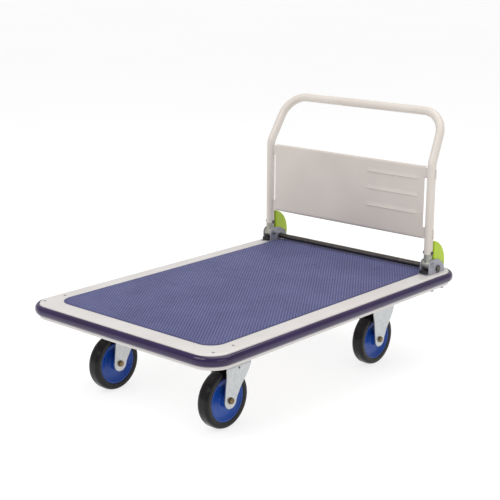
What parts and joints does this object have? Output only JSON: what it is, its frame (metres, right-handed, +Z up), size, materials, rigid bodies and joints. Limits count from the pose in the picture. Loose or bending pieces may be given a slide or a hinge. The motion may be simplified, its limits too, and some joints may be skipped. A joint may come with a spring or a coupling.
{
  "type": "platform trolley",
  "caption": "Flat pressed-steel platform trolley with a bumper and mat, swivel casters in front, rigid casters behind and a push handle that folds flat over the deck.",
  "frame": {"origin": "on the floor, under the middle of the deck", "axes": "+Z up, +Y towards the handle end, +X to the right as seen from the front with the handle behind"},
  "size_m": [0.79, 1.23, 0.8374],
  "materials": {
    "cream_paint": "satin paint",
    "beige_paint": "satin paint",
    "mat_vinyl": "embossed vinyl",
    "bumper_vinyl": "glossy vinyl",
    "zinc_steel": "bright zinc plate",
    "grey_paint": "grey paint",
    "black_rubber": "moulded rubber",
    "tyre_rubber": "glossy black rubber",
    "wheel_paint": "blue paint",
    "green_plastic": "yellow-green moulding",
    "dark_steel": "dark oiled steel"
  },
  "bodies": {
    "deck": {"deck_pan": "cream_paint", "bumper": "bumper_vinyl", "deck_mat": "mat_vinyl", "front_cross_channel": "cream_paint", "rear_cross_channel": "cream_paint", "deck_rail_left": "cream_paint", "swivel_plate_left": "zinc_steel", "kingpin_left": "dark_steel", "rigid_fork_left": "zinc_steel", "hinge_bracket_left": "grey_paint", "hinge_pin_left": "zinc_steel", "stop_pad_left": "black_rubber", "lock_spring_left": "dark_steel", "axle_bolt_rear_left": "dark_steel", "deck_rail_right": "cream_paint", "swivel_plate_right": "zinc_steel", "kingpin_right": "dark_steel", "rigid_fork_right": "zinc_steel", "hinge_bracket_right": "grey_paint", "hinge_pin_right": "zinc_steel", "stop_pad_right": "black_rubber", "lock_spring_right": "dark_steel", "axle_bolt_rear_right": "dark_steel"},
    "handle": {"handle_tube": "cream_paint", "handle_panel": "beige_paint", "handle_foot_left": "zinc_steel", "foot_bolt_left": "dark_steel", "hinge_cover_left": "green_plastic", "panel_saddle_lower_left": "cream_paint", "panel_saddle_upper_left": "cream_paint", "handle_foot_right": "zinc_steel", "foot_bolt_right": "dark_steel", "hinge_cover_right": "green_plastic", "panel_saddle_lower_right": "cream_paint", "panel_saddle_upper_right": "cream_paint"},
    "release": {"release_bar": "dark_steel"},
    "swivel_left": {"swivel_race_left": "zinc_steel", "swivel_fork_left": "zinc_steel", "axle_bolt_front_left": "dark_steel"},
    "wheel_front_left": {"tyre_front_left": "tyre_rubber", "wheel_disc_front_left": "wheel_paint", "hub_bearing_front_left": "dark_steel"},
    "wheel_rear_left": {"tyre_rear_left": "tyre_rubber", "wheel_disc_rear_left": "wheel_paint", "hub_bearing_rear_left": "dark_steel"},
    "swivel_right": {"swivel_race_right": "zinc_steel", "swivel_fork_right": "zinc_steel", "axle_bolt_front_right": "dark_steel"},
    "wheel_front_right": {"tyre_front_right": "tyre_rubber", "wheel_disc_front_right": "wheel_paint", "hub_bearing_front_right": "dark_steel"},
    "wheel_rear_right": {"tyre_rear_right": "tyre_rubber", "wheel_disc_rear_right": "wheel_paint", "hub_bearing_rear_right": "dark_steel"}
  },
  "joints": [
    {"name": "handle_fold", "type": "hinge", "parent": "deck", "child": "handle", "pos_m": [0, 0.481, 0.33], "axis": [1, 0, 0], "range_deg": [0, 90]},
    {"name": "release_slide", "type": "slide", "parent": "deck", "child": "release", "axis": [0, 1, 0], "range_m": [0, 0.008], "stiffness_N_per_m": 600, "springref_m": -0.012, "deforming": ["lock_spring_left", "lock_spring_right"]},
    {"name": "caster_swivel_left", "type": "hinge", "parent": "deck", "child": "swivel_left", "pos_m": [-0.232, -0.362, 0.2], "axis": [0, 0, 1], "continuous": true},
    {"name": "wheel_spin_front_left", "type": "hinge", "parent": "swivel_left", "child": "wheel_front_left", "pos_m": [-0.232, -0.402, 0.0885], "axis": [1, 0, 0], "continuous": true},
    {"name": "wheel_spin_rear_left", "type": "hinge", "parent": "deck", "child": "wheel_rear_left", "pos_m": [-0.232, 0.333, 0.0885], "axis": [1, 0, 0], "continuous": true},
    {"name": "caster_swivel_right", "type": "hinge", "parent": "deck", "child": "swivel_right", "pos_m": [0.232, -0.362, 0.2], "axis": [0, 0, 1], "continuous": true},
    {"name": "wheel_spin_front_right", "type": "hinge", "parent": "swivel_right", "child": "wheel_front_right", "pos_m": [0.232, -0.402, 0.0885], "axis": [1, 0, 0], "continuous": true},
    {"name": "wheel_spin_rear_right", "type": "hinge", "parent": "deck", "child": "wheel_rear_right", "pos_m": [0.232, 0.333, 0.0885], "axis": [1, 0, 0], "continuous": true}
  ]
}
